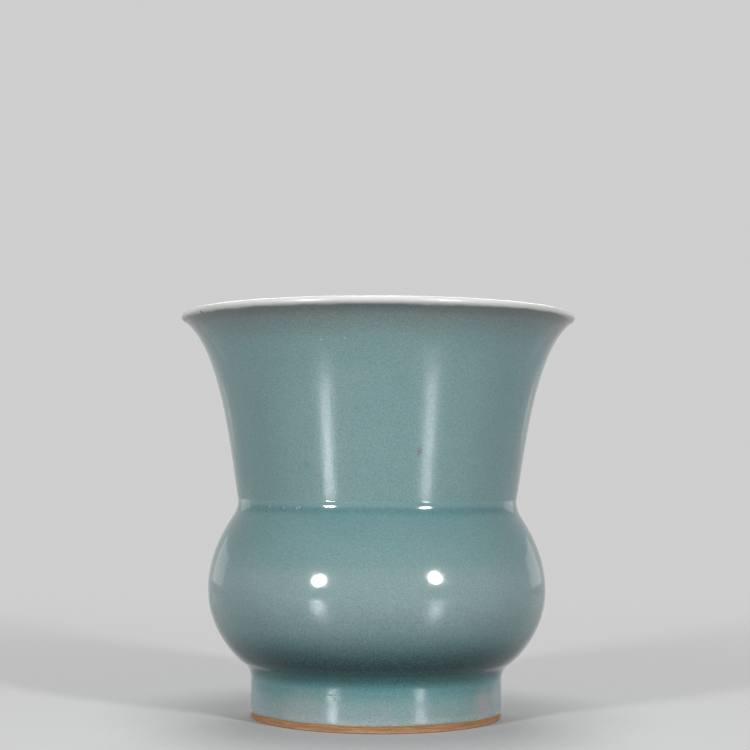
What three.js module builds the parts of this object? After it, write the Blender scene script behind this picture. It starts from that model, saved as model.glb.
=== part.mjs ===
import * as THREE from 'three';

// A zhadou in porcelain: a wide trumpet neck on a round belly and a short straight foot. It is
// thrown in four sections, luted together with slip, and covered in glaze except for the foot's edge.

// Driving dimensions in millimetres. Heights are measured from the table and radii from the axis.
const facetsAround = 32;

// The lip, rounded over from outside to inside, with its band of white glaze.
const height = 150;
const lipRadius = 74.1;
const lipThickness = 2.7;
const lipFlareDegrees = 53;
const rimBandRun = 0.9;

// The trumpet neck, from the joint at the throat up to the lip.
const neckJointHeight = 80.2;
const throatRadius = 52.3;
const throatFlareDegrees = 10.7;
const neckLowerPull = 13.9;
const neckUpperPull = 17.8;

// The belly, joined at its widest, and the shoulder that runs from it up into the throat.
const bellyRadius = 63.1;
const bellyJointHeight = 47;
const shoulderFilletRadius = 9;
const shoulderSlopeDegrees = 30.4;
const shoulderLowerPull = 14.4;
const shoulderUpperPull = 3.15;
const bowlLowerPull = 3.9;
const bowlUpperPull = 13.4;

// The foot: a nearly upright wall that swells slightly to its glazed edge, and a fillet to the bowl.
const footRadius = 46.85;
const footSwell = 0.4;
const footSwellHeight = 9.6;
const footFilletHeight = 14.2;
const footFilletRadius = 7.5;
const bowlSlopeDegrees = 56;
const footJointHeight = 11.1;
const footBevel = 0.35;
const footRimWidth = 3.5;
const footWallAtJoint = 4.6;
const bareFootHeight = 2.5;
const glazeEdgeHeight = 2;

// Walls, glaze included, and the coats and joints between them.
const throatWall = 4.6;
const bellyWall = 5.2;
const bowlWall = 6.2;
const floorHeight = 17.6;
const floorOuterPull = 12;
const floorInnerPull = 20;
const glazeThickness = 0.6;
const baseGlazeThickness = 0.4;
const baseGlazeFillet = 1.6;
const slipThickness = 0.8;

const point = (radius, rise) => new THREE.Vector2(radius, rise);

// The direction of a wall that leans out by so many degrees from upright.
function leaning(degrees) {
  const angle = THREE.MathUtils.degToRad(degrees);
  return point(Math.sin(angle), Math.cos(angle));
}

function bend(start, startDirection, startPull, end, endDirection, endPull) {
  const leave = start.clone().addScaledVector(startDirection, startPull);
  const arrive = end.clone().addScaledVector(endDirection, -endPull);
  return new THREE.CubicBezierCurve(start, leave, arrive, end);
}

// A station is one place on a wall: its point on the glazed outside, the direction that faces out
// there, and the thickness of the finished wall.
function stationsAlong(curve, steps, wallStart, wallEnd) {
  const stations = [];
  for (let step = 0; step <= steps; step += 1) {
    const share = step / steps;
    const tangent = curve.getTangent(share);
    stations.push({
      outside: curve.getPoint(share),
      outward: point(tangent.y, -tangent.x),
      wall: THREE.MathUtils.lerp(wallStart, wallEnd, share),
    });
  }
  return stations;
}

// The level faces of two sections, which meet at a layer of slip.
function jointStations(radius, middle, wall) {
  return [-slipThickness / 2, slipThickness / 2].map((rise) => ({
    outside: point(radius, middle + rise),
    outward: point(1, 0),
    wall,
  }));
}

const inward = (station, depth) => station.outside.clone().addScaledVector(station.outward, -depth);
const glazed = (station) => inward(station, 0);
const clayOutside = (station) => inward(station, glazeThickness);
const clayInside = (station) => inward(station, station.wall - glazeThickness);
const lined = (station) => inward(station, station.wall);

const upright = point(0, 1);
const outwardAndLevel = point(1, 0);

const [footBelow, footAbove] = jointStations(footRadius, footJointHeight, footWallAtJoint);
const [bellyBelow, bellyAbove] = jointStations(bellyRadius, bellyJointHeight, bellyWall);
const [neckBelow, neckAbove] = jointStations(throatRadius, neckJointHeight, throatWall);

// The foot's outside, from the edge of its glaze up to its joint.
function footStations() {
  const start = point(footRadius + footSwell, bareFootHeight + glazeEdgeHeight);
  const end = point(footRadius, footSwellHeight);
  const rise = (end.y - start.y) / 2;
  return [...stationsAlong(bend(start, upright, rise, end, upright, rise), 2, 0, 0), footBelow];
}

// The fillet from the foot's wall to the slope of the bowl.
function footFilletStations() {
  const turn = THREE.MathUtils.degToRad(bowlSlopeDegrees);
  const centre = point(footRadius + footFilletRadius, footFilletHeight);
  const arc = new THREE.ArcCurve(centre.x, centre.y, footFilletRadius, Math.PI, Math.PI - turn, true);
  return stationsAlong(arc, 3, bowlWall, bowlWall);
}

// The bowl's wall, from the end of the foot's fillet up to the belly's joint.
function bowlStations(filletEnd) {
  const slope = leaning(bowlSlopeDegrees);
  const wall = bend(filletEnd.outside, slope, bowlLowerPull, bellyBelow.outside, upright, bowlUpperPull);
  return [...stationsAlong(wall, 5, bowlWall, bellyWall).slice(0, -1), bellyBelow];
}

// The shoulder, from the belly's joint in to the fillet under the neck.
function shoulderStations() {
  const turn = THREE.MathUtils.degToRad(shoulderSlopeDegrees);
  const centre = point(throatRadius + shoulderFilletRadius, neckBelow.outside.y);
  const fillet = new THREE.ArcCurve(
    centre.x, centre.y, shoulderFilletRadius, Math.PI + turn, Math.PI, true,
  );
  const slope = leaning(-shoulderSlopeDegrees);
  const filletStart = fillet.getPoint(0);
  const wall = bend(bellyAbove.outside, upright, shoulderLowerPull, filletStart, slope, shoulderUpperPull);
  return [
    bellyAbove,
    ...stationsAlong(wall, 5, bellyWall, throatWall).slice(1),
    ...stationsAlong(fillet, 2, throatWall, throatWall).slice(1, -1),
    neckBelow,
  ];
}

// The rounded lip is an arc of half the wall's thickness, square to the flare on both sides.
const lipRound = lipThickness / 2;
const lipCentre = point(lipRadius - lipRound, height - lipRound);
const lipFlare = leaning(lipFlareDegrees);
const lipOutward = point(lipFlare.y, -lipFlare.x);
const rimTop = lipCentre.clone().addScaledVector(lipOutward, lipRound);
const rimBottom = rimTop.clone().addScaledVector(lipFlare, -rimBandRun);

function neckStations() {
  const flare = leaning(throatFlareDegrees);
  const wall = bend(neckAbove.outside, flare, neckLowerPull, rimBottom, lipFlare, neckUpperPull);
  return [neckAbove, ...stationsAlong(wall, 8, throatWall, lipThickness).slice(1, -1)];
}

const rimStation = { outside: rimBottom, outward: lipOutward, wall: lipThickness };

// The lip's arc from outside, over the crest and down to the inside.
function lipArc(radius) {
  const start = -THREE.MathUtils.degToRad(lipFlareDegrees);
  const crest = Math.PI / 2;
  const rising = new THREE.ArcCurve(lipCentre.x, lipCentre.y, radius, start, crest, false);
  const falling = new THREE.ArcCurve(lipCentre.x, lipCentre.y, radius, crest, start + Math.PI, false);
  return [...rising.getPoints(3), ...falling.getPoints(2).slice(1)];
}

const foot = footStations();
const footFillet = footFilletStations();
const bowl = bowlStations(footFillet.at(-1));
const shoulder = shoulderStations();
const neck = neckStations();

// The inside of the bowl's floor, from the axis out to the foot of the bowl's wall.
const floorCurve = bend(
  point(0, floorHeight), outwardAndLevel, floorInnerPull,
  lined(bowl[0]), leaning(bowlSlopeDegrees), floorOuterPull,
);
const floorStations = stationsAlong(floorCurve, 5, 0, 0).slice(0, -1);
const floorLined = floorStations.map(glazed);
const floorClay = floorStations.map((station) => inward(station, -glazeThickness));

// The foot's bare edge and the recess inside it, measured on the clay.
const underside = footAbove.outside.y;
const bareTop = point(foot[0].outside.x - glazeThickness, bareFootHeight);
const restOuter = point(bareTop.x - footBevel, 0);
const restInner = point(restOuter.x - footRimWidth, 0);
const recessRadius = clayOutside(footBelow).x - footWallAtJoint;
const recessTop = point(recessRadius, footBelow.outside.y);
const recessCorner = point(recessRadius, underside);
const recessBareTop = restInner.clone().lerp(recessTop, bareFootHeight / recessTop.y);

// A closed outline of radii and heights, turned round the axis. It runs up its outer side and
// down its inner side, so its faces point out.
function turned(name, outline, colour, roughness) {
  const geometry = new THREE.LatheGeometry(outline, facetsAround);
  geometry.rotateX(Math.PI / 2);
  const material = new THREE.MeshStandardMaterial({ color: colour, roughness, metalness: 0 });
  const mesh = new THREE.Mesh(geometry, material);
  mesh.name = name;
  return mesh;
}

const closed = (outline) => [...outline, outline[0]];

function thrownSection(name, outline) {
  return turned(name, outline, 0xd9cfc0, 0.85);
}

function slipSeam(name, outline) {
  return turned(name, closed(outline), 0xe4ddd0, 0.9);
}

function footRing() {
  return thrownSection('foot_ring', closed([
    restInner, restOuter, bareTop, ...foot.map(clayOutside), recessTop, recessBareTop,
  ]));
}

function footSlipSeam() {
  return slipSeam('foot_slip_seam', [
    recessTop, clayOutside(footBelow), clayOutside(footAbove), recessCorner,
  ]);
}

function bowlSection() {
  return thrownSection('bowl_section', [
    point(0, underside), recessCorner, clayOutside(footAbove),
    ...footFillet.slice(0, -1).map(clayOutside),
    ...bowl.map(clayOutside),
    ...bowl.map(clayInside).reverse(),
    ...floorClay.reverse(),
  ]);
}

function slipBetween(name, below, above) {
  return slipSeam(name, [clayInside(below), clayOutside(below), clayOutside(above), clayInside(above)]);
}

function shoulderSection() {
  return thrownSection('shoulder_section', closed([
    ...shoulder.map(clayOutside),
    ...shoulder.map(clayInside).reverse(),
  ]));
}

function neckSection() {
  return thrownSection('neck_section', closed([
    ...neck.map(clayOutside), clayOutside(rimStation),
    ...lipArc(lipRound - glazeThickness),
    clayInside(rimStation), ...neck.map(clayInside).reverse(),
  ]));
}

// The blue-green glaze outside, from its rolled edge above the bare foot up to the white rim.
function outerGlaze() {
  const corner = point(foot[0].outside.x, bareFootHeight);
  const rolledEdge = new THREE.QuadraticBezierCurve(bareTop, corner, foot[0].outside).getPoints(3);
  const wall = [...foot, footAbove, ...footFillet.slice(0, -1), ...bowl, ...shoulder, ...neck, rimStation];
  return turned('outer_glaze', closed([
    ...rolledEdge, ...wall.slice(1).map(glazed), ...wall.map(clayOutside).reverse(),
  ]), 0x7d9694, 0.08);
}

// The same glaze inside, from the white rim down over the floor.
function innerGlaze() {
  const wall = [...bowl, ...shoulder, ...neck, rimStation];
  return turned('inner_glaze', [
    ...floorStations.map((station) => inward(station, -glazeThickness)),
    ...wall.map(clayInside),
    ...wall.map(lined).reverse(),
    ...floorLined.reverse(),
  ], 0x8aa19d, 0.1);
}

// The white glaze that caps the lip and runs a little way down both sides of it.
function rimGlaze() {
  return turned('rim_glaze', closed([
    glazed(rimStation), ...lipArc(lipRound), lined(rimStation),
    clayInside(rimStation), ...lipArc(lipRound - glazeThickness).reverse(), clayOutside(rimStation),
  ]), 0xe6e8e4, 0.1);
}

// The glaze inside the foot, pooled in the corner and stopping short of the resting edge.
function baseGlaze() {
  const ceiling = underside - baseGlazeThickness;
  const wallTop = recessRadius - baseGlazeThickness;
  const corner = point(wallTop, ceiling);
  const pooledCorner = new THREE.QuadraticBezierCurve(
    point(wallTop - baseGlazeFillet, ceiling), corner, point(wallTop, ceiling - baseGlazeFillet),
  ).getPoints(3);
  return turned('base_glaze', [
    point(0, ceiling), ...pooledCorner, point(recessBareTop.x - baseGlazeThickness, bareFootHeight),
    recessBareTop, recessTop, recessCorner, point(0, underside),
  ], 0xc9d2cd, 0.12);
}

const zhadou = new THREE.Group();
zhadou.add(
  footRing(), footSlipSeam(), bowlSection(),
  slipBetween('belly_slip_seam', bellyBelow, bellyAbove), shoulderSection(),
  slipBetween('neck_slip_seam', neckBelow, neckAbove), neckSection(),
  outerGlaze(), rimGlaze(), innerGlaze(), baseGlaze(),
);

export default zhadou;
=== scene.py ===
import math

import bpy
import numpy as np
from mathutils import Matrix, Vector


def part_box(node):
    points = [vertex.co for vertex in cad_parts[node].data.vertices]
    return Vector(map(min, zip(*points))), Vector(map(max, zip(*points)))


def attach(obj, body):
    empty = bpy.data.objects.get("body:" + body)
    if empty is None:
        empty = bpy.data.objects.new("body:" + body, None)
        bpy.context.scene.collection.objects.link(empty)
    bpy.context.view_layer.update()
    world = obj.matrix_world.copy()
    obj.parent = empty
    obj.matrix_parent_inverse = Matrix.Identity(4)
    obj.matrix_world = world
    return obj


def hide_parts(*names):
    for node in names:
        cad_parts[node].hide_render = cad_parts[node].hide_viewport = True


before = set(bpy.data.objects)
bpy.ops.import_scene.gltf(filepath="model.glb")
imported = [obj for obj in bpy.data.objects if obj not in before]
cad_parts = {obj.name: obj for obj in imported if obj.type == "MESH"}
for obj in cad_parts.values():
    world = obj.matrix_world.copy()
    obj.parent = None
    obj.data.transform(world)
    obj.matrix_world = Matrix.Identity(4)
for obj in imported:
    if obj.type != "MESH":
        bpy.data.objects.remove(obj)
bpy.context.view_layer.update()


# Foot ring. The straight foot of white porcelain clay, thrown and turned, luted under the bowl.
# Its resting edge is wiped clean of glaze, and the kiln has flushed the bare clay brown, and amber
# along the glaze.
MM = 0.001
GLAZE = 0.6 * MM
FOOT_SWELL = 0.4 * MM
FOOT_SWELL_TOP = 9.6 * MM
FOOT_SWELL_PULL = 2.7 * MM
BARE_FOOT = 2.5 * MM
GLAZE_EDGE = 2.0 * MM
FOOT_WALL = 4.6 * MM
REST_WIDTH = 3.5 * MM
REST_BEVEL = 0.35 * MM
WORN_EDGE = 0.3 * MM
UPRIGHT = np.array([0.0, 1.0])
AROUND = 256
SHARP_CORNER = 38
SAME_PLACE = 0.0001 * MM

# How far the potter's hand strays, in shares of the radius, and how its marks are spaced.
LIP_OFF_CENTRE = 0.0016
LIP_OFF_TOWARDS = math.pi
LIP_TILT = 0.0034
OVAL = 0.0006
TURNING_DEPTH = 0.00009
TURNING_PITCH = 1.9 * MM
TURNING_BEAT = 7.3 * MM
TURNING_WANDER = 0.6

# The heights where the flush of the bare clay turns brown and amber and where the shade painted
# along its resting edge fades, how far they wander, and the sizes of its marks, in millimetres.
BROWN_FLUSH = (0.4 * MM, 1.5 * MM)
AMBER_FLUSH = (1.5 * MM, 2.3 * MM)
CONTACT_SHADE_FADE = (0.1 * MM, 0.35 * MM)
FLUSH_WANDER = 0.8 * MM
FLUSH_SIZE = 2.5
ROSY_SIZE = 2.4
OCHRE_SIZE = 3.4
LINE_SIZE = 1.1
GRIT_SIZE = 0.3
CLAY_ROUGHNESS = 0.75
CLAY_RELIEF = 0.05 * MM


def reach(node):
    """The outer radius, the foot and the top of a piece of the frame."""
    low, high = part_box(node)
    return high.x, low.z, high.z


def bend(start, leaving, end, arriving, pulls, steps):
    """A line of radii and heights that leaves one place in one direction and arrives in another."""
    start, end = np.array(start), np.array(end)
    share = np.linspace(0, 1, steps + 1)[:, None]
    leave = start + leaving * pulls[0]
    arrive = end - arriving * pulls[1]
    early = (1 - share) ** 3 * start + 3 * (1 - share) ** 2 * share * leave
    return early + 3 * (1 - share) * share ** 2 * arrive + share ** 3 * end


def arc(centre, radius, start_degrees, end_degrees, steps):
    """A round line about a centre, from one angle to another."""
    turn = np.radians(np.linspace(start_degrees, end_degrees, steps + 1))
    return np.array(centre) + radius * np.stack([np.cos(turn), np.sin(turn)], axis=1)


def straight(start, end, steps=1):
    """A straight line in so many steps."""
    return np.linspace(start, end, steps + 1)


def joined(*lines):
    """One line from several, without the places where they meet twice."""
    line = np.vstack(lines)
    apart = np.linalg.norm(np.diff(line, axis=0), axis=1) > SAME_PLACE
    return line[np.concatenate([[True], apart])]


def sunk(line, depth):
    """The line at a depth under the surface, measured square to it."""
    along = np.gradient(line, axis=0)
    along /= np.linalg.norm(along, axis=1)[:, None]
    outward = np.stack([along[:, 1], -along[:, 0]], axis=1)
    return line - outward * np.reshape(depth, (-1, 1))


def by_hand(angle, radius, rise):
    """The potter's unevenness: a lip off centre and out of level, a faint oval, faint turning marks."""
    share = rise / vessel_height
    off_centre = LIP_OFF_CENTRE * np.cos(angle - LIP_OFF_TOWARDS) * share ** 4
    oval = OVAL * np.sin(2 * angle) * share
    marks = np.sin(rise / TURNING_PITCH + TURNING_WANDER * np.sin(angle))
    turning = TURNING_DEPTH * marks * np.sin(rise / TURNING_BEAT)
    tilt = LIP_TILT * radius * np.cos(angle) * share ** 6
    return radius * (1 + off_centre + oval + turning), rise + tilt


def turned(name, outline, around=AROUND, wavy=None):
    """A piece turned round the axis from an outline that runs up outside and down inside."""
    outline = np.array(outline)
    on_axis = outline[0][0] < SAME_PLACE
    rings = outline[1:-1] if on_axis else outline
    turns = np.tile(np.arange(around) * math.tau / around, len(rings))
    radius = np.repeat(rings[:, 0], around)
    rise = np.repeat(rings[:, 1], around)
    if wavy is not None:
        rise = rise + wavy(turns, rise)
    radius, rise = by_hand(turns, radius, rise)
    points = np.stack([radius * np.cos(turns), radius * np.sin(turns), rise], axis=1).tolist()
    sides = [(here, (here + 1) % around) for here in range(around)]
    faces = []
    for ring in range(len(rings) - 1 if on_axis else len(rings)):
        lower = ring * around
        upper = (ring + 1) % len(rings) * around
        for here, there in sides:
            faces.append((lower + here, lower + there, upper + there, upper + here))
    if on_axis:
        first, last = len(points), len(points) + 1
        top = len(points) - around
        points += [(0, 0, outline[0][1]), (0, 0, outline[-1][1])]
        for here, there in sides:
            faces.append((first, there, here))
            faces.append((last, top + here, top + there))
    mesh = bpy.data.meshes.new(name)
    mesh.from_pydata(points, [], faces)
    mesh.shade_smooth()
    mesh.set_sharp_from_angle(angle=math.radians(SHARP_CORNER))
    piece = bpy.data.objects.new(name, mesh)
    bpy.context.scene.collection.objects.link(piece)
    return piece


def stands_for(piece, node, material):
    """Seats a finished piece in the frame in place of its solid."""
    piece.data.materials.append(material)
    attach(piece, "root")
    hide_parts(node)


def srgb(red, green, blue):
    """A colour as the eye reads it, 0 to 255, turned into light."""
    parts = [channel / 255 for channel in (red, green, blue)]
    light = [part / 12.92 if part < 0.04045 else ((part + 0.055) / 1.055) ** 2.4 for part in parts]
    return (*light, 1.0)


class Value:
    """A socket that gives a number, a colour or a vector, for sums that build a finish.

    Without a socket it only adds the first nodes of a finish, which need no other.
    """

    def __init__(self, tree, socket=None):
        self.tree = tree
        self.socket = socket

    def node(self, kind, settings, sockets, output=0):
        """Adds a node of this type: first its settings, then the values or links of its sockets."""
        made = self.tree.nodes.new(kind)
        for name, setting in settings.items():
            setattr(made, name, setting)
        for name, value in sockets.items():
            if isinstance(value, Value):
                self.tree.links.new(value.socket, made.inputs[name])
            else:
                made.inputs[name].default_value = value
        return Value(self.tree, made.outputs[output])

    def math(self, operation, *values):
        """One sum of numbers and of sockets that give numbers."""
        return self.node("ShaderNodeMath", {"operation": operation}, dict(enumerate(values)))

    def __add__(self, other):
        return self.math("ADD", self, other)

    def __sub__(self, other):
        return self.math("SUBTRACT", self, other)

    def __rsub__(self, other):
        return self.math("SUBTRACT", other, self)

    def __mul__(self, other):
        return self.math("MULTIPLY", self, other)

    __radd__ = __add__
    __rmul__ = __mul__

    def at_least(self, other):
        """The larger of the two."""
        return self.math("MAXIMUM", self, other)

    def at_most(self, other):
        """The smaller of the two."""
        return self.math("MINIMUM", self, other)

    def stretched(self, by):
        """A place scaled by three numbers."""
        return self.node("ShaderNodeVectorMath", {"operation": "MULTIPLY"}, {0: self, 1: by})

    def rising(self, low, high, top=1.0):
        """0 below low, the top above high and a soft slope between them."""
        sockets = {"Value": self, "From Min": low, "From Max": high, "To Max": top}
        return self.node("ShaderNodeMapRange", {"interpolation_type": "SMOOTHSTEP"}, sockets)

    def blended(self, under, over):
        """The first colour where this mask is 0 and the second where it is 1."""
        return self.node("ShaderNodeMix", {"data_type": "RGBA"}, {0: self, 6: under, 7: over}, output=2)

    def lit(self, factor):
        """A colour made lighter or darker by this number."""
        return self.node("ShaderNodeVectorMath", {"operation": "SCALE"}, {0: self, 3: factor})

    def cloud(self, size, detail=2.0, roughness=0.5):
        """Noise between 0 and 1 in patches of about this size, in millimetres, from a place."""
        sockets = {"Vector": self, "Scale": 1 / (size * MM), "Detail": detail, "Roughness": roughness}
        return self.node("ShaderNodeTexNoise", {}, sockets)


def new_finish(name):
    """A material's principled shader and the place on the piece, in metres."""
    material = bpy.data.materials.new(name)
    material.use_nodes = True
    tree = material.node_tree
    place = Value(tree).node("ShaderNodeTexCoord", {}, {}, output="Object")
    return material, tree.nodes["Principled BSDF"], place


def finish_with(shader, **parts):
    """Links what changes over a surface into the shader."""
    for name, value in parts.items():
        value.tree.links.new(value.socket, shader.inputs[name.replace("_", " ")])


def raised(height, distance, strength=1.0):
    """The surface's direction where its height, 0 to 1, stands up by this distance."""
    sockets = {"Height": height, "Distance": distance, "Strength": strength}
    return height.node("ShaderNodeBump", {}, sockets)


def rise_of(place):
    """The height of a place above the table."""
    return place.node("ShaderNodeSeparateXYZ", {}, {0: place}, output=2)


CLAY_PALE = srgb(180, 142, 117)
CLAY_BROWN = srgb(160, 116, 80)
CLAY_AMBER = srgb(168, 124, 68)
CLAY_ROSY = srgb(172, 112, 88)
CLAY_OCHRE = srgb(162, 130, 72)
LINE_DARK = srgb(134, 90, 58)
LINE_PALE = srgb(194, 152, 122)
# Shade painted along the resting edge, where the foot meets the table.
CONTACT_SHADE_DARK = srgb(66, 46, 36)
GRIT_DARK = srgb(112, 74, 50)

vessel_radius, _, vessel_height = reach("rim_glaze")
waist_radius, foot_seam_low, foot_seam_high = reach("foot_slip_seam")
foot_radius = waist_radius + GLAZE
glaze_foot_radius = foot_radius + FOOT_SWELL
bare_radius = glaze_foot_radius - GLAZE
rolled_top = BARE_FOOT + GLAZE_EDGE
foot_line = joined(
    bend([glaze_foot_radius, rolled_top], UPRIGHT, [foot_radius, FOOT_SWELL_TOP], UPRIGHT,
         (FOOT_SWELL_PULL, FOOT_SWELL_PULL), 8),
    straight([foot_radius, FOOT_SWELL_TOP], [foot_radius, foot_seam_low]),
)
rest_outer = bare_radius - REST_BEVEL
rest_inner = rest_outer - REST_WIDTH
recess_radius = waist_radius - FOOT_WALL
foot_ring = turned("foot_ring_clay", joined(
    [[rest_inner, WORN_EDGE], [rest_inner + WORN_EDGE, 0], [rest_outer - WORN_EDGE, 0]],
    arc([rest_outer - WORN_EDGE, WORN_EDGE], WORN_EDGE, -90, 0, 3),
    straight([rest_outer, WORN_EDGE], [bare_radius, BARE_FOOT], 3),
    straight([bare_radius, BARE_FOOT], [bare_radius, rolled_top], 2),
    sunk(foot_line, GLAZE),
    [[recess_radius, foot_seam_low]],
    straight([recess_radius, foot_seam_low], [rest_inner, WORN_EDGE], 6)[1:-1],
))


def bare_clay():
    """Flushed clay with rosy and ochre blotches, turned lines, grit, and shade painted along the resting
    edge.
    """
    material, shader, place = new_finish("bare_clay")
    rise = rise_of(place)
    level = rise + (place.cloud(FLUSH_SIZE, 3) - 0.5) * FLUSH_WANDER
    colour = level.rising(*BROWN_FLUSH).blended(CLAY_PALE, CLAY_BROWN)
    colour = level.rising(*AMBER_FLUSH).blended(colour, CLAY_AMBER)
    blotched = place.stretched((0.5, 0.5, 2.0))
    colour = (blotched.cloud(ROSY_SIZE, 3).rising(0.48, 0.68) * 0.5).blended(colour, CLAY_ROSY)
    colour = (blotched.cloud(OCHRE_SIZE, 3).rising(0.5, 0.66) * 0.55).blended(colour, CLAY_OCHRE)
    turned_lines = place.stretched((0.12, 0.12, 2.6)).cloud(LINE_SIZE, 3, 0.6)
    colour = (turned_lines.rising(0.5, 0.62) * 0.5).blended(colour, LINE_DARK)
    colour = ((1 - turned_lines).rising(0.52, 0.64) * 0.5).blended(colour, LINE_PALE)
    # Painted shade: the resting edge is darkened where it meets the table and no light gets under it.
    contact_shade = 1 - rise.rising(*CONTACT_SHADE_FADE)
    colour = (contact_shade * 0.8).blended(colour, CONTACT_SHADE_DARK)
    grit = place.cloud(GRIT_SIZE, 2, 0.7)
    colour = (grit.rising(0.52, 0.68) * 0.6).blended(colour, GRIT_DARK)
    finish_with(
        shader,
        Base_Color=colour,
        Roughness=grit * 0.15 + CLAY_ROUGHNESS,
        Normal=raised(grit + turned_lines * 1.5, CLAY_RELIEF),
    )
    return material


clay = bare_clay()
stands_for(foot_ring, "foot_ring", clay)


# Slip seams. Three thin rings of fired slip, the potter's glue, brushed on where two sections are
# luted together: under the bowl, round the belly and under the neck.
THROAT_WALL = 4.6 * MM
BELLY_WALL = 5.2 * MM
UNSEEN_AROUND = 128
BRUSH_SIZE = 1.5
SLIP_ROUGHNESS = 0.8
SLIP_RELIEF = 0.04 * MM
SLIP_CREAM = srgb(226, 214, 194)
SLIP_PALE = srgb(238, 231, 217)
SEAMS = (
    ("foot_seam_slip", "foot_slip_seam", FOOT_WALL),
    ("belly_seam_slip", "belly_slip_seam", BELLY_WALL - 2 * GLAZE),
    ("neck_seam_slip", "neck_slip_seam", THROAT_WALL - 2 * GLAZE),
)


def seam(name, node, wall):
    """A ring of slip as high as its solid, as wide as the wall that it holds."""
    radius, low, high = reach(node)
    inner = radius - wall
    outline = joined(straight([inner, low], [radius, low], 3), straight([radius, high], [inner, high], 3))
    return turned(name, outline, UNSEEN_AROUND)


def fired_slip():
    """Pale matt slip with the marks of the brush."""
    material, shader, place = new_finish("fired_slip")
    brushed = place.stretched((1.0, 1.0, 5.0)).cloud(BRUSH_SIZE, 3)
    finish_with(
        shader,
        Base_Color=brushed.blended(SLIP_CREAM, SLIP_PALE),
        Roughness=brushed * 0.1 + SLIP_ROUGHNESS,
        Normal=raised(brushed, SLIP_RELIEF),
    )
    return material


slip = fired_slip()
for name, node, wall in SEAMS:
    stands_for(seam(name, node, wall), node, slip)


# Thrown sections. The bowl with the floor of the vessel, the shoulder and the trumpet neck, each
# thrown on the wheel in white porcelain clay and trimmed to seat on the next.
FOOT_FILLET_START = 14.2 * MM
FOOT_FILLET = 7.5 * MM
BOWL_SLOPE = 56
BOWL_PULLS = (3.9 * MM, 13.4 * MM)
BOWL_WALL = 6.2 * MM
FLOOR_RISE = 17.6 * MM
FLOOR_PULLS = (20 * MM, 12 * MM)
SHOULDER_FILLET = 9 * MM
SHOULDER_SLOPE = 30.4
SHOULDER_PULLS = (14.4 * MM, 3.15 * MM)
THROAT_FLARE = 10.7
NECK_PULLS = (13.9 * MM, 17.8 * MM)
LIP_FLARE = 53
LIP_WALL = 2.7 * MM
RIM_RUN = 0.9 * MM
FILLET_STEPS = 12
FLOOR_STEPS = 24
BELLY_STEPS = 32
NECK_STEPS = 56
FINER = 12
OUTWARD = np.array([1.0, 0.0])


def leaning(degrees):
    """The direction of a wall that leans out by so many degrees from upright."""
    angle = math.radians(degrees)
    return np.array([math.sin(angle), math.cos(angle)])


def lining(line, low_wall, high_wall, glaze=0.0):
    """The inside of a wall, opposite its outside line, or the clay under so much glaze there."""
    return sunk(line, np.linspace(low_wall, high_wall, len(line)) - glaze)


clay_belly, belly_seam_low, belly_seam_high = reach("belly_slip_seam")
clay_throat, neck_seam_low, neck_seam_high = reach("neck_slip_seam")
belly_radius = clay_belly + GLAZE
throat_radius = clay_throat + GLAZE

foot_fillet_line = joined(
    straight([foot_radius, foot_seam_high], [foot_radius, FOOT_FILLET_START], 3),
    arc([foot_radius + FOOT_FILLET, FOOT_FILLET_START], FOOT_FILLET, 180, 180 - BOWL_SLOPE, FILLET_STEPS),
)
bowl_line = bend(
    foot_fillet_line[-1], leaning(BOWL_SLOPE), [belly_radius, belly_seam_low], UPRIGHT,
    BOWL_PULLS, BELLY_STEPS,
)
fine_fillet_line = arc(
    [throat_radius + SHOULDER_FILLET, neck_seam_low], SHOULDER_FILLET, 180 + SHOULDER_SLOPE, 180,
    FILLET_STEPS * FINER,
)
shoulder_fillet_line = fine_fillet_line[::FINER]
shoulder_line = joined(
    bend([belly_radius, belly_seam_high], UPRIGHT, shoulder_fillet_line[0], leaning(-SHOULDER_SLOPE),
         SHOULDER_PULLS, BELLY_STEPS),
    shoulder_fillet_line,
)
lip_round = LIP_WALL / 2
lip_centre = np.array([vessel_radius - lip_round, vessel_height - lip_round])
lip_flare = leaning(LIP_FLARE)
lip_outward = np.array([lip_flare[1], -lip_flare[0]])
rim_start = lip_centre + lip_outward * lip_round - lip_flare * RIM_RUN
fine_neck_line = bend(
    [throat_radius, neck_seam_high], leaning(THROAT_FLARE), rim_start, lip_flare,
    NECK_PULLS, NECK_STEPS * FINER,
)
neck_line = fine_neck_line[::FINER]

bowl_lining = lining(bowl_line, BOWL_WALL, BELLY_WALL)
floor_line = bend(
    [0.0, FLOOR_RISE], OUTWARD, bowl_lining[0], leaning(BOWL_SLOPE), FLOOR_PULLS, FLOOR_STEPS,
)
floor_clay = sunk(floor_line, -GLAZE)[2:-1:2]
bowl_inside = lining(bowl_line, BOWL_WALL, BELLY_WALL, GLAZE)[::2]
shoulder_inside = lining(shoulder_line, BELLY_WALL, THROAT_WALL, GLAZE)[::2]
neck_inside = lining(neck_line, THROAT_WALL, LIP_WALL, GLAZE)[::2]

bowl = turned("bowl_clay", joined(
    straight([0, foot_seam_high], [waist_radius, foot_seam_high], 8),
    sunk(foot_fillet_line, GLAZE)[1:],
    sunk(bowl_line, GLAZE)[::2],
    bowl_inside[::-1],
    floor_clay[::-1],
    [[0, FLOOR_RISE - GLAZE]],
), UNSEEN_AROUND)
shoulder = turned("shoulder_clay", joined(
    sunk(shoulder_line, GLAZE)[::2],
    shoulder_inside[::-1],
), UNSEEN_AROUND)
neck = turned("neck_clay", joined(
    sunk(neck_line, GLAZE)[::2],
    arc(lip_centre, lip_round - GLAZE, -LIP_FLARE, 180 - LIP_FLARE, 8),
    neck_inside[::-1],
), UNSEEN_AROUND)
for section, node in ((bowl, "bowl_section"), (shoulder, "shoulder_section"), (neck, "neck_section")):
    stands_for(section, node, clay)


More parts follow.
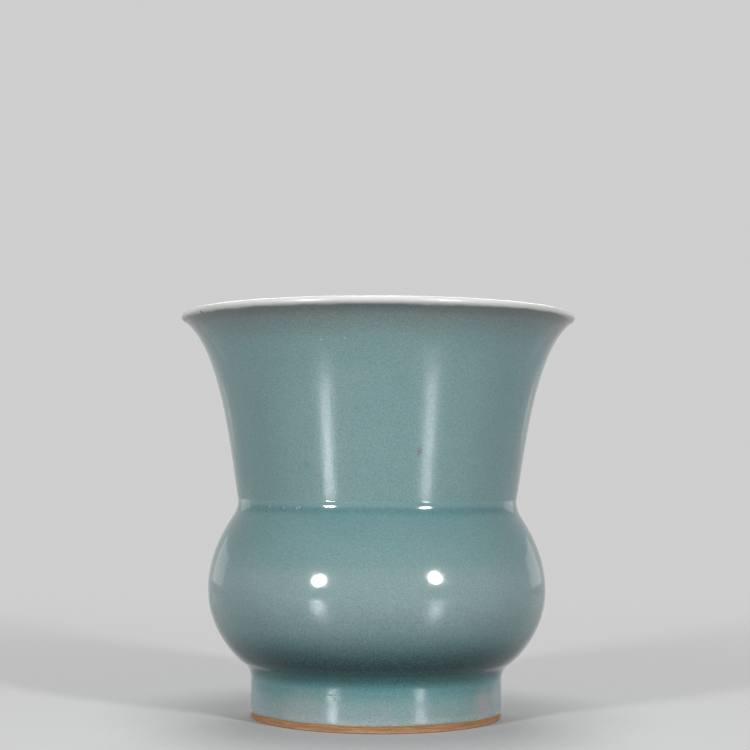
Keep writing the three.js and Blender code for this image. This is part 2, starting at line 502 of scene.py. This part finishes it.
# Outer glaze. A blue-green glaze, dipped in one coat, glossy and full of fine bubbles. It runs thin
# and grey under the lip, pools deeper in the throat and above the foot, and rolls to an edge.
RIM_BAND = 2.5 * MM
ROLL_PULLS = (0.33 * MM, 1.3 * MM)
FOOT_SKIN_PULL = 3.2 * MM
CLOUD_SIZE = 24
MOTTLE_SIZE = 2.4
BUBBLE_SIZE = 0.5
DEEPEST = 1.4
GLAZE_IOR = 1.5
GLAZE_ROUGHNESS = 0.06
GLAZE_RELIEF = 0.05 * MM
THIN_CELADON = srgb(130, 151, 152)
DEEP_CELADON = srgb(90, 132, 134)
POOLED_CELADON = srgb(83, 131, 134)
VEIL_GREY = srgb(113, 122, 121)
# The white band from its grey lower part to its crest, which is painted paler as a highlight.
LIP_GREY = srgb(190, 191, 188)
LIP_WHITE = srgb(207, 208, 207)
BLUSH = srgb(156, 153, 155)
THIN_EDGE = srgb(184, 184, 180)
EDGE_OCHRE = srgb(176, 130, 80)
IRON = srgb(96, 88, 66)
CRAWLED = srgb(68, 98, 98)
# The pale of the glints painted on the pinholes and bubbles.
GLINT_PALE = srgb(190, 216, 212)

# Two faint grooves at the neck joint: how high each lies, how wide and how deep it is.
GROOVES = ((80.66 * MM, 0.11 * MM, 0.034 * MM), (78.8 * MM, 0.8 * MM, 0.022 * MM))

# How the lower edge wanders: how far, how many times round the foot and from which angle.
EDGE_WAVES = ((0.13 * MM, 5, 1.0), (0.08 * MM, 13, 2.4), (0.05 * MM, 29, 0.0))

# Fades near the lip, from the edge of its white band: the grey veil, the painted shade under the
# band, the white itself, its palest crest as a painted highlight, and the rougher skin of the white.
VEIL_FADE = (-14.0 * MM, 0.0)
SHADE_FADE = (-3.6 * MM, -1.8 * MM)
WHITE_FADE = (-0.65 * MM, 0.25 * MM)
CREST_HIGHLIGHT_FADE = (0.3 * MM, 1.7 * MM)
WHITE_SKIN = (-1.0 * MM, 0.3 * MM)

# How that edge wobbles, by the sizes of its waves in millimetres and how far each shifts it, and
# where it dips: each place, its size and how far.
EDGE_WOBBLES = ((3, 0.3 * MM), (12, 0.8 * MM))
EDGE_DIPS = (((56.8, -47.2, 147.8), 40, 0.7 * MM), ((-63.2, -37.7, 147.6), 1.6, 0.9 * MM))

# The ochre line where the lower edge thins out, from the top of the bare clay.
OCHRE_LINE = (0.1 * MM, 0.5 * MM)

# Slopes of the coat and of the painted shade: the heights in millimetres where each starts and is
# full, and its strength.
THROAT_POOL = (54, neck_seam_low / MM, 0.3)
LOW_THROAT_POOL = (73.5, 78, 0.25)
SEAM_FADE = (77.6, 80.0)
FOOT_THIN = (3.5, 13)
# The hollow under the belly: shade painted into the colour.
HOLLOW_SHADE = (14, 19, 0.32)
HOLLOW_DEEPER_SHADE = (19.5, 23.5, 0.305)
HOLLOW_FADE = (20.5, 37.5)
THIN_EDGE_FADE = (2.8, 6.2)

# Bands of the coat and of the painted shade: where each starts, is full, fades and ends, and its strength.
FOOT_POOL = (8.5, 17, 19, 36, 0.78)
BELLY_THIN = (33, 43, 52, 61, 0.34)
LOW_BELLY_SHADE = (14, 19, 37, 50, 0.15)
CROOK_SHADE = (75.5, 77, 77.9, 78.8)

# Places and sizes of single marks on the coat, in millimetres. Each blush has its strength too, and
# the iron speck, which is taller than wide, is a round one in a place squeezed by this share.
BLUSHES = (
    ((38.5, -26.9, 7.5), 9.0, 0.85), ((43.4, -17.5, 10.5), 7.0, 0.6), ((-25.8, -39.5, 6.1), 12.0, 0.35),
)
IRON_SQUEEZE = 0.6
IRON_SPECK = (14.4, -53.1, 97.9 * IRON_SQUEEZE)
IRON_SIZE = 1.5
FAINT_SPECK = (-24.9, -48.2, 93.2)
FAINT_SIZE = 1.8
CRAWL_MARKS = (
    (-16.9, -43.8, 13.1), (-16.2, -44.0, 13.0), (-15.6, -44.2, 12.9), (-14.9, -44.5, 13.0),
    (-14.3, -44.7, 12.8), (-14.9, -44.5, 12.2), (-14.5, -44.6, 11.6),
)
CRAWL_SIZE = 0.45
# The pinholes and the bubbles at the joint also carry a painted glint.
PINHOLES = ((-19.7, -61.8, 136.0), (-11.4, -64.0, 136.3))
PINHOLE_SIZE = 0.5
SEAM_BUBBLES = ((-38.3, -35.8, 78.3), (-33.0, -40.8, 78.0), (-28.3, -44.2, 78.0), (-27.3, -44.7, 78.4))
GLINT_SIZE = 0.6
BUMP_SIZE = 0.9
PALE_SPECKS = ((-12.2, -54.2, 72.0), (44.1, -31.1, 74.5), (24.1, -57.9, 53.2), (-3.4, -62.8, 51.5))
PALE_SIZE = 0.7


def glaze_waver(turns, rise):
    """The lower edge of the glaze wanders up and down round the foot."""
    share = np.clip((rolled_top - rise) / GLAZE_EDGE, 0, 1)
    wander = sum(far * np.sin(times * turns + start) for far, times, start in EDGE_WAVES)
    return wander * share


rolled_edge = bend(
    [bare_radius, BARE_FOOT], OUTWARD, [glaze_foot_radius, rolled_top], UPRIGHT, ROLL_PULLS, 8,
)
foot_skin = bend(
    rolled_edge[-1], UPRIGHT, [foot_radius, FOOT_FILLET_START], UPRIGHT,
    (FOOT_SKIN_PULL, FOOT_SKIN_PULL), 16,
)
outer_line = joined(
    rolled_edge, foot_skin, foot_fillet_line, bowl_line, shoulder_line[:-2],
    fine_fillet_line[-FINER:], straight([throat_radius, neck_seam_low], [throat_radius, neck_seam_high], 8),
    fine_neck_line[:2 * FINER], neck_line[2:],
)
for height, width, depth in GROOVES:
    outer_line[:, 0] -= depth * np.exp(-((outer_line[:, 1] - height) / width) ** 2)
inner_side = joined(foot_line, foot_fillet_line, bowl_line, shoulder_line, neck_line)
outer_outline = joined(outer_line, sunk(inner_side, GLAZE)[::-2])
outer_glaze = turned("outer_glaze_coat", outer_outline, wavy=glaze_waver)
white_edge = vessel_height - RIM_BAND


def near(place, spot, size):
    """1 at a spot of the piece, in millimetres, fading to 0 at this distance from it."""
    where = tuple(part * MM for part in spot)
    apart = place.node("ShaderNodeVectorMath", {"operation": "DISTANCE"}, {0: place, 1: where}, output=1)
    return 1 - apart.rising(0.0, size * MM)


def near_any(place, spots, size):
    """The same for several spots, added up."""
    mask = near(place, spots[0], size)
    for spot in spots[1:]:
        mask = mask + near(place, spot, size)
    return mask


def slope(rise, start, full, strength=1.0):
    """0 below one height and full strength above another, both in millimetres."""
    return rise.rising(start * MM, full * MM, strength)


def band(rise, start, full, fading, end, strength=1.0):
    """Full strength between two heights and 0 below the first of the four and above the last."""
    return slope(rise, start, full, strength) * (1 - slope(rise, fading, end))


def clouding_in(place):
    """Wide soft clouds in a thick glaze, as a number about 0."""
    return place.stretched((1.0, 1.0, 2.0)).cloud(CLOUD_SIZE, 2) - 0.5


def mottle_in(place):
    """The mottle in a glaze, as a number about 0."""
    return place.cloud(MOTTLE_SIZE, 2, 0.6) - 0.5


def bubbles_in(place):
    """The fine bubbles in a thick glaze, as a number about 0."""
    return place.cloud(BUBBLE_SIZE, 1.5, 0.6) - 0.5


def whitened(place, rise, colour):
    """The glaze's colour fading through grey into the white of the lip, along an uneven edge."""
    above_edge = rise - white_edge
    for size, far in EDGE_WOBBLES:
        above_edge = above_edge + (place.cloud(size) - 0.5) * far
    for spot, size, far in EDGE_DIPS:
        above_edge = above_edge - near(place, spot, size) * far
    veil = above_edge.rising(*VEIL_FADE) * 0.9
    # Painted shade: the coat is darkened just under the white band.
    shade = above_edge.rising(*SHADE_FADE) * 0.12
    colour = veil.blended(colour, VEIL_GREY).lit(1 - shade)
    # Painted highlight: the white is paler along the crest of the lip.
    white = above_edge.rising(*CREST_HIGHLIGHT_FADE).blended(LIP_GREY, LIP_WHITE)
    return above_edge.rising(*WHITE_FADE).blended(colour, white)


def foot_thinness(rise):
    """1 where the coat has run thin, low on the foot."""
    return 1 - slope(rise, *FOOT_THIN)


def pooled(rise):
    """How much deeper the outer coat lies in its pools, and shallower where it has run thin."""
    throat = slope(rise, *THROAT_POOL) + slope(rise, *LOW_THROAT_POOL)
    throat = throat * (1 - slope(rise, *SEAM_FADE))
    thin = foot_thinness(rise) * 0.35 + band(rise, *BELLY_THIN)
    return throat + band(rise, *FOOT_POOL) - thin


def painted_shade(rise, mottle):
    """The shade painted into the colour in the hollow under the belly and in the crook of the neck."""
    hollow = slope(rise, *HOLLOW_SHADE) + slope(rise, *HOLLOW_DEEPER_SHADE)
    hollow = hollow * (1 - slope(rise, *HOLLOW_FADE))
    crook = band(rise, *CROOK_SHADE) * (mottle * 0.3 + 0.12)
    return hollow + band(rise, *LOW_BELLY_SHADE) + crook


def marked(place, rise, colour, crawled):
    """The outer coat's blushes on the foot, its thin edge over the bare clay and its single marks."""
    blush = place.stretched((0.7, 0.7, 1.4)).cloud(7, 2).rising(0.35, 0.75) * foot_thinness(rise) * 0.3
    for spot, size, strength in BLUSHES:
        blush = blush + near(place, spot, size) * strength
    colour = blush.at_most(1.0).blended(colour, BLUSH)
    haze = place.stretched((0.6, 0.6, 1.0)).cloud(4, 2).rising(0.45, 0.7)
    thin_edge = (1 - slope(rise, *THIN_EDGE_FADE)) * (haze * 0.3 + 0.3)
    colour = thin_edge.blended(colour, THIN_EDGE)
    ochre_line = 1 - (rise - BARE_FOOT).rising(*OCHRE_LINE)
    colour = (ochre_line * 0.85).blended(colour, EDGE_OCHRE)
    squeezed = place.stretched((1.0, 1.0, IRON_SQUEEZE))
    colour = (near(squeezed, IRON_SPECK, IRON_SIZE) * 0.6).blended(colour, IRON)
    colour = (near(place, FAINT_SPECK, FAINT_SIZE) * 0.8).blended(colour, POOLED_CELADON)
    colour = crawled.blended(colour, CRAWLED)
    # Painted highlights: the pinholes and joint bubbles are painted pale as glints, the pale specks
    # fainter.
    painted_glints = near_any(place, PINHOLES, PINHOLE_SIZE) + near_any(place, SEAM_BUBBLES, GLINT_SIZE)
    painted_glints = painted_glints + near_any(place, PALE_SPECKS, PALE_SIZE) * 0.25
    return (painted_glints * 0.55).blended(colour, GLINT_PALE)


def celadon(name, is_outside):
    """The blue-green glaze under its white lip, with pools, painted shade, marks and painted glints
    outside.
    """
    material, shader, place = new_finish(name)
    rise = rise_of(place)
    clouding = clouding_in(place)
    mottle = mottle_in(place)
    bubbles = bubbles_in(place)
    in_white = (rise - white_edge).rising(*WHITE_SKIN)

    # The coat's depth runs from 0, thin, to 1, deep, and to more in a pool. The bubbles pit its skin
    # and stand in its colour as pale and dark points, but not in the white.
    depth = clouding * 0.35 + mottle * 0.25 + bubbles * 0.3 + 0.5
    pits = (1 - bubbles.rising(-0.13, -0.02)) * (1 - in_white)
    light = 1 + (bubbles * 0.9 + mottle * 0.14) * (1 - in_white)
    skin = place.stretched((0.35, 0.35, 1.6)).cloud(9, 2) * 0.7 + place.cloud(2.6, 2) * 0.12 + bubbles * 0.6
    if is_outside:
        crawled = near_any(place, CRAWL_MARKS, CRAWL_SIZE)
        depth = depth + pooled(rise)
        # Painted shade: the hollow under the belly and the crook of the neck are darkened in the colour.
        light = light - painted_shade(rise, mottle)
        skin = skin + near_any(place, SEAM_BUBBLES, BUMP_SIZE) * 3 - crawled * 4
    depth = depth.at_most(DEEPEST).at_least(0.0)
    colour = depth.blended(THIN_CELADON, DEEP_CELADON)
    colour = (depth - 1.0).rising(0.12, 0.3).blended(colour, POOLED_CELADON)
    if is_outside:
        colour = marked(place, rise, colour, crawled)
    finish_with(
        shader,
        Base_Color=whitened(place, rise, colour).lit(light),
        Roughness=(mottle + clouding) * 0.03 + GLAZE_ROUGHNESS + pits * 0.15 + in_white * 0.18,
        Normal=raised(skin, GLAZE_RELIEF, 0.4),
    )
    shader.inputs["IOR"].default_value = GLAZE_IOR
    return material


stands_for(outer_glaze, "outer_glaze", celadon("outer_celadon", True))


# Rim glaze. A band of opaque white glaze over the lip, brushed on before the blue-green one and
# melted into it, so that the edge between them is soft.
WHITE_ROUGHNESS = 0.24
WHITE_RELIEF = 0.05 * MM
RIPPLE_SIZE = 1.8

rim_top = rim_start + lip_flare * RIM_RUN
rim_glaze = turned("rim_glaze_band", joined(
    straight(rim_start, rim_top, 3),
    arc(lip_centre, lip_round, -LIP_FLARE, 180 - LIP_FLARE, 20),
    straight(rim_top - lip_outward * LIP_WALL, rim_start - lip_outward * LIP_WALL, 3),
    [rim_start - lip_outward * (LIP_WALL - GLAZE)],
    arc(lip_centre, lip_round - GLAZE, 180 - LIP_FLARE, -LIP_FLARE, 8),
    [rim_start - lip_outward * GLAZE],
))


def white_rim():
    """White glaze over the lip, in the same fade from blue-green as the coat beside it."""
    material, shader, place = new_finish("white_rim")
    mottle = mottle_in(place)
    celadon_side = (mottle + 0.5).blended(THIN_CELADON, DEEP_CELADON)
    finish_with(
        shader,
        Base_Color=whitened(place, rise_of(place), celadon_side).lit(1 + bubbles_in(place) * 0.12),
        Roughness=mottle * 0.06 + WHITE_ROUGHNESS,
        Normal=raised(place.cloud(RIPPLE_SIZE, 2), WHITE_RELIEF, 0.5),
    )
    return material


stands_for(rim_glaze, "rim_glaze", white_rim())


# Inner glaze. The same blue-green coat inside, from the white lip down the neck and over the floor
# of the vessel, poured in and swilled round.
shoulder_lining = lining(shoulder_line, BELLY_WALL, THROAT_WALL)
neck_lining = lining(fine_neck_line, THROAT_WALL, LIP_WALL)[::FINER]
inner_clay = joined([[0, FLOOR_RISE - GLAZE]], floor_clay, bowl_inside, shoulder_inside, neck_inside)
inner_skin = joined(floor_line[:-1], bowl_lining, shoulder_lining, neck_lining)
inner_glaze = turned("inner_glaze_coat", joined(inner_clay, inner_skin[::-1]))
stands_for(inner_glaze, "inner_glaze", celadon("inner_celadon", False))


# Base glaze. A thin pale coat inside the foot, pooled in the corner of the recess and wiped off
# short of the resting edge.
BASE_GLAZE = 0.4 * MM
POOLED_CORNER = 1.6 * MM
CORNER_PULL = 1.0 * MM
BASE_ROUGHNESS = 0.12
BASE_RELIEF = 0.08 * MM
BASE_RIPPLE_SIZE = 2.4
SPECK_GRID = 2.6
SPECK_SHARE = 0.08
BASE_PALE = srgb(206, 214, 209)
BASE_COOL = srgb(180, 198, 194)
BASE_SPECK = srgb(120, 84, 58)

ceiling = foot_seam_high - BASE_GLAZE
recess_wall = recess_radius - BASE_GLAZE
corner_start = [recess_wall - POOLED_CORNER, ceiling]
corner_end = [recess_wall, ceiling - POOLED_CORNER]
bare_share = BARE_FOOT / foot_seam_low
recess_bare = rest_inner + (recess_radius - rest_inner) * bare_share
base_glaze = turned("base_glaze_coat", joined(
    straight([0, ceiling], corner_start, 10),
    bend(corner_start, OUTWARD, corner_end, -UPRIGHT, (CORNER_PULL, CORNER_PULL), 6),
    straight(corner_end, [recess_bare - BASE_GLAZE, BARE_FOOT + BASE_GLAZE], 4),
    [[recess_bare, BARE_FOOT], [recess_radius, foot_seam_low], [recess_radius, foot_seam_high]],
    [[0, foot_seam_high]],
))


def spots(place, size, share):
    """Round spots on a grid of this size in millimetres, in a share of its cells."""
    cells = {"Vector": place, "Scale": 1 / (size * MM)}
    distance = place.node("ShaderNodeTexVoronoi", {}, cells)
    chosen = place.node("ShaderNodeTexVoronoi", {}, cells, output=1)
    chance = chosen.node("ShaderNodeSeparateColor", {}, {0: chosen})
    return (1 - distance.rising(0.12, 0.34)) * chance.math("LESS_THAN", chance, share)


def pale_base():
    """Pale glaze with a few brown specks."""
    material, shader, place = new_finish("pale_base")
    colour = (clouding_in(place) + bubbles_in(place) * 0.6 + 0.5).blended(BASE_PALE, BASE_COOL)
    finish_with(
        shader,
        Base_Color=(spots(place, SPECK_GRID, SPECK_SHARE) * 0.7).blended(colour, BASE_SPECK),
        Roughness=mottle_in(place) * 0.08 + BASE_ROUGHNESS,
        Normal=raised(place.cloud(BASE_RIPPLE_SIZE, 3), BASE_RELIEF, 0.6),
    )
    return material


stands_for(base_glaze, "base_glaze", pale_base())


# Floor. A plain pale table top with a satin face, which fades into the pale backdrop all round. The
# fade starts nearer for the camera than for the light that the glaze mirrors. In the glaze the table
# is shinier towards its edge and matt beyond it, which cuts the lamps' sheen off in a line.
BACKDROP = 0.62
FLOOR_REACH = 12.0
TABLE_TONES = (0.58, 0.62)
BOUNCE_TONE = 0.1
SATIN = 0.35
TABLE_EDGE = 0.67
EDGE_SOFTNESS = 0.01
POLISH_START = 0.33
TABLE_POLISH = 0.8
MIRRORED_FADE = (0.7, 2.0)
SEEN_FADE = (0.2, 0.75)


def ray(tree, kind):
    """1 for light of one kind, such as what the camera sees straight, and 0 for any other."""
    return Value(tree).node("ShaderNodeLightPath", {}, {}, output=kind)


def seen(tree):
    """1 for what the camera sees, straight or mirrored in the glaze, and 0 for light that bounces."""
    mirrored = ray(tree, "Is Glossy Ray").at_least(ray(tree, "Is Transmission Ray"))
    return mirrored.at_least(ray(tree, "Is Camera Ray"))


def grey(level):
    """A grey that gives back this share of the light."""
    return (level, level, level, 1.0)


def satin_floor():
    """The table's satin face, mixed by its distance from the pot with a backdrop that glows evenly."""
    material, shader, place = new_finish("satin_floor")
    tree = place.tree
    straight_on = ray(tree, "Is Camera Ray")
    away = place.node("ShaderNodeVectorMath", {"operation": "LENGTH"}, {0: place}, output=1)
    table = place.cloud(3, 2).blended(*[grey(tone) for tone in TABLE_TONES])
    matt = straight_on.at_least(away.rising(TABLE_EDGE - EDGE_SOFTNESS, TABLE_EDGE + EDGE_SOFTNESS))
    finish_with(
        shader,
        Base_Color=seen(tree).blended(grey(BOUNCE_TONE), table),
        Roughness=matt * (1 - SATIN) + SATIN,
        Metallic=(1 - matt) * away.rising(POLISH_START, TABLE_EDGE) * TABLE_POLISH,
    )
    shader.inputs["Specular IOR Level"].default_value = 1.0
    backdrop = place.node("ShaderNodeEmission", {}, {"Color": grey(BACKDROP), "Strength": 1.0})
    far = away.rising(*MIRRORED_FADE).at_least(straight_on * away.rising(*SEEN_FADE))
    mixed = far.node("ShaderNodeMixShader", {}, {0: far, 1: Value(tree, shader.outputs[0]), 2: backdrop})
    tree.links.new(mixed.socket, tree.nodes["Material Output"].inputs["Surface"])
    return material


floor_mesh = bpy.data.meshes.new("floor")
corners = [(-FLOOR_REACH, -FLOOR_REACH, 0), (FLOOR_REACH, -FLOOR_REACH, 0)]
corners += [(FLOOR_REACH, FLOOR_REACH, 0), (-FLOOR_REACH, FLOOR_REACH, 0)]
floor_mesh.from_pydata(corners, [], [(0, 1, 2, 3)])
floor = bpy.data.objects.new("floor", floor_mesh)
floor_mesh.materials.append(satin_floor())
bpy.context.scene.collection.objects.link(floor)


# Light. Two upright oval lamps in front, left and right, a low soft box behind each side of the pot,
# a higher one that lights its back, a round lamp overhead for the inside, and a soft pale surround.
# Azimuths are measured from the camera's side, in degrees, and distances and sizes in metres.
FRONT_LAMPS = (("left_lamp", -38.3, 12.6), ("right_lamp", 39.1, 15.5))
LAMP_AWAY = 1.4
LAMP_SIZE = (0.195, 0.245)
LAMP_ENERGY = 12.0
SIDE_BOXES = (("left_soft_box", -136), ("right_soft_box", 136))
BOX_ELEVATION = 5
BOX_AWAY = 1.3
BOX_SIZE = (0.5, 0.3)
BOX_ENERGY = 0.24
BACK_ELEVATION = 34
BACK_AWAY = 1.6
BACK_SIZE = (1.0, 0.6)
BACK_ENERGY = 10.0
TOP_AWAY = 1.6
TOP_SIZE = (0.6, 0.6)
TOP_ENERGY = 8.0
LIGHT_AIM = 0.06
FILL = 0.08


def lamp(name, shape, azimuth, elevation, away, size, energy):
    """A lamp aimed at the pot from this azimuth, elevation and distance."""
    side, up = math.radians(azimuth), math.radians(elevation)
    level = away * math.cos(up)
    data = bpy.data.lights.new(name, "AREA")
    data.shape = shape
    data.size, data.size_y = size
    data.energy = energy
    light = bpy.data.objects.new(name, data)
    light.location = (level * math.sin(side), -level * math.cos(side), LIGHT_AIM + away * math.sin(up))
    light.rotation_euler = (math.radians(90) - up, 0, side)
    light.visible_camera = False
    bpy.context.scene.collection.objects.link(light)


for name, azimuth, elevation in FRONT_LAMPS:
    lamp(name, "ELLIPSE", azimuth, elevation, LAMP_AWAY, LAMP_SIZE, LAMP_ENERGY)
for name, azimuth in SIDE_BOXES:
    lamp(name, "RECTANGLE", azimuth, BOX_ELEVATION, BOX_AWAY, BOX_SIZE, BOX_ENERGY)
lamp("back_soft_box", "RECTANGLE", 180, BACK_ELEVATION, BACK_AWAY, BACK_SIZE, BACK_ENERGY)
lamp("top_lamp", "DISK", 0, 90, TOP_AWAY, TOP_SIZE, TOP_ENERGY)


def pale_surround():
    """A surround as pale as the backdrop to the eye and in the glaze, and a low fill light besides."""
    world = bpy.data.worlds.new("pale_surround")
    bpy.context.scene.world = world
    world.use_nodes = True
    tree = world.node_tree
    around = seen(tree).blended(grey(FILL), grey(BACKDROP))
    tree.links.new(around.socket, tree.nodes["Background"].inputs["Color"])


pale_surround()


# Camera. It looks a little up from below the lip, from straight in front, as the photograph does.
# The lens is worked out from its focal length in the photograph's pixels.
CAMERA_AWAY = 0.6375
CAMERA_SIDE = -0.00119
CAMERA_RISE = 0.0893
CAMERA_PITCH = 3.435
CAMERA_ROLL = 0.38
PHOTO_SIZE = 750
FOCAL_PIXELS = 1687
SENSOR_WIDTH = 36

camera_data = bpy.data.cameras.new("camera")
camera_data.sensor_width = SENSOR_WIDTH
camera_data.lens = FOCAL_PIXELS / PHOTO_SIZE * SENSOR_WIDTH
camera = bpy.data.objects.new("camera", camera_data)
camera.location = (CAMERA_SIDE, -CAMERA_AWAY, CAMERA_RISE)
camera.rotation_mode = "XYZ"
camera.rotation_euler = (math.radians(90 + CAMERA_PITCH), 0, 0)
camera.rotation_euler.rotate_axis("Z", math.radians(CAMERA_ROLL))
bpy.context.scene.collection.objects.link(camera)
bpy.context.scene.camera = camera
bpy.context.scene.view_settings.view_transform = "Standard"
